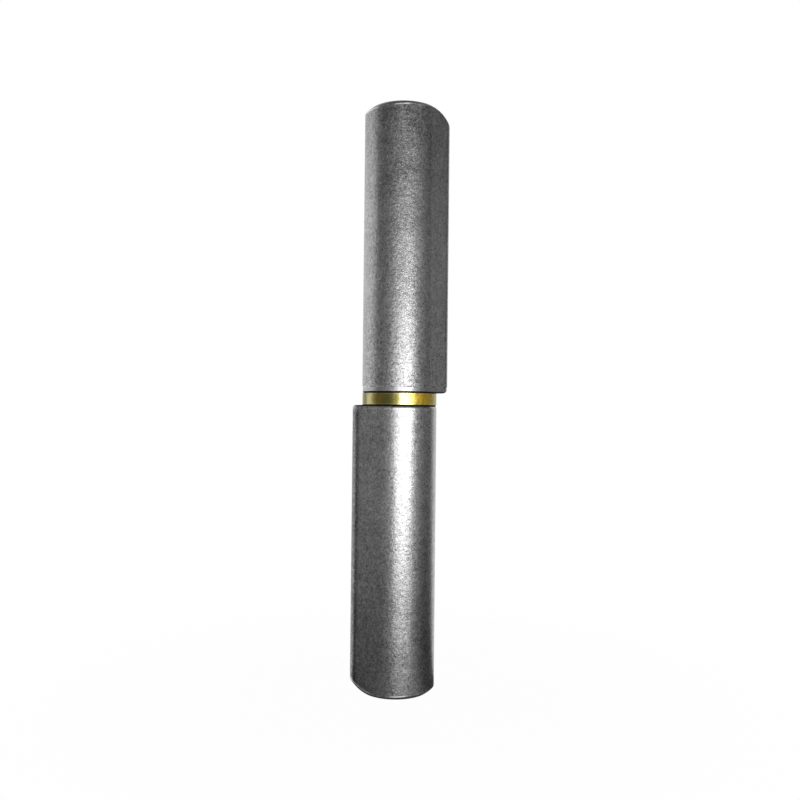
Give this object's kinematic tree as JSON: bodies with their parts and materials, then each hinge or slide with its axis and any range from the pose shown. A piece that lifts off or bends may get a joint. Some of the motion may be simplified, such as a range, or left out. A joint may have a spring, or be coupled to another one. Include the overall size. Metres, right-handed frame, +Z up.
{
  "type": "weld on barrel hinge",
  "caption": "Lift-off weld-on barrel hinge in teardrop steel bar, with a plain pin and a brass washer between the leaves.",
  "frame": {"origin": "middle of the lower leaf's bottom end, on the pin's axis", "axes": "+Z up the pin, +X to the side that the upper leaf's tail points to, -Y to the front"},
  "size_m": [0.0232, 0.018, 0.14],
  "materials": {
    "drawn_steel": "bare drawn steel, dark and mottled",
    "pin_steel": "bright turned steel",
    "brass": "turned, slightly tarnished"
  },
  "bodies": {
    "lower_leaf": {"lower_barrel": "drawn_steel", "hinge_pin": "pin_steel"},
    "washer": {"brass_washer": "brass"},
    "upper_leaf": {"upper_barrel": "drawn_steel"}
  },
  "joints": [
    {"name": "swing", "type": "hinge", "parent": "lower_leaf", "child": "washer", "pos_m": [0, 0, 0.0685], "axis": [0, 0, 1], "continuous": true},
    {"name": "lift_off", "type": "slide", "parent": "washer", "child": "upper_leaf", "axis": [0, 0, 1], "range_m": [0, 0.032]}
  ]
}
